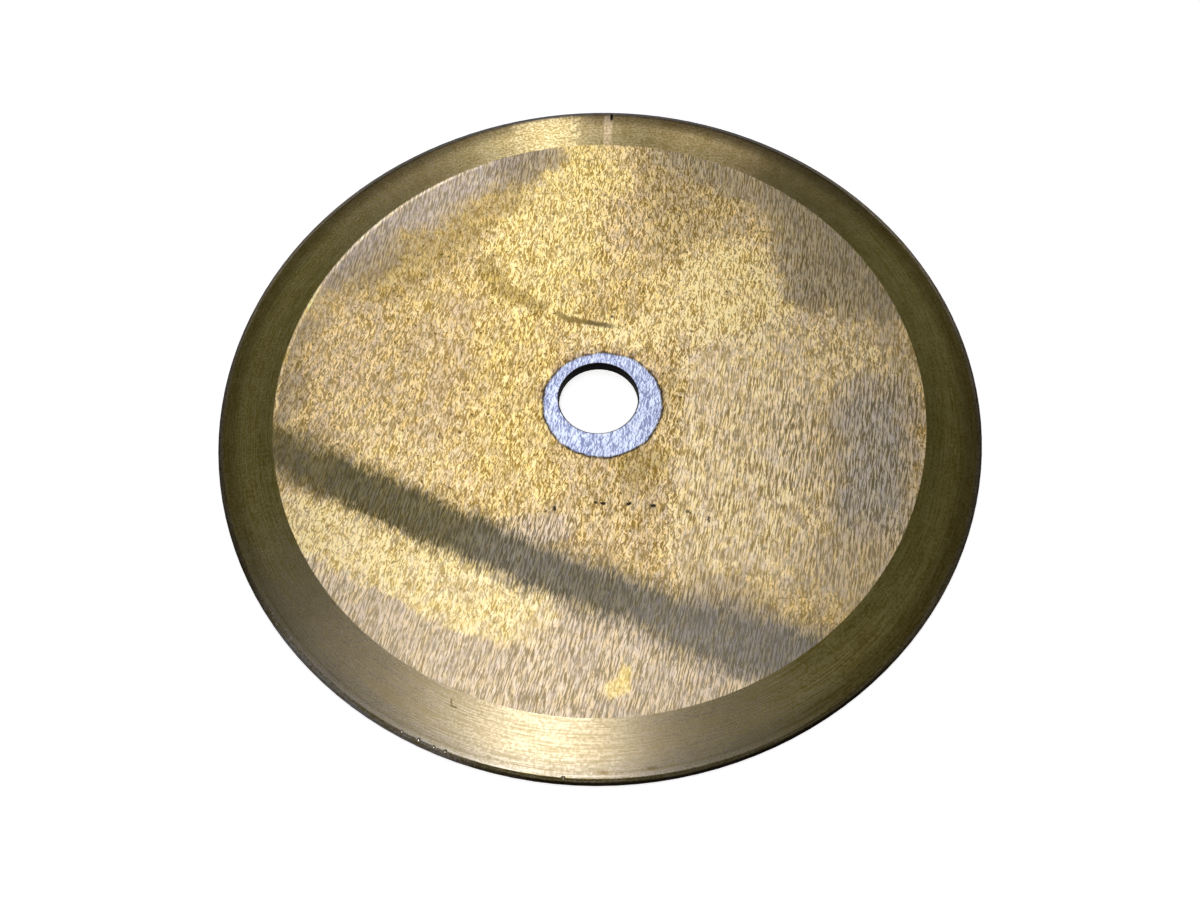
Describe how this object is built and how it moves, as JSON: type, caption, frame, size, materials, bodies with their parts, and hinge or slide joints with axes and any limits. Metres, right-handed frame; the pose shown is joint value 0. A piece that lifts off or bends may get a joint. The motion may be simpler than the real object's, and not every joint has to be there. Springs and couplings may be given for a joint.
{
  "type": "circular core cutter blade",
  "caption": "Round single-bevel knife with a plain bore, a wide shallow bevel and a narrow honed edge, for slitting paper and board cores.",
  "frame": {"origin": "centre of the bore on the flat back, which is the face the blade lies on", "axes": "+Z along the bore's axis, out of the bevelled face; the small nick in the edge is 4 degrees from +Y towards +X"},
  "size_m": [0.1524, 0.1524, 0.0025],
  "materials": {
    "ground_steel": "surface ground tool steel with straw and grey-brown staining, and a clean bright ring round the bore"
  },
  "bodies": {
    "root": {"blade": "ground_steel"}
  },
  "joints": []
}
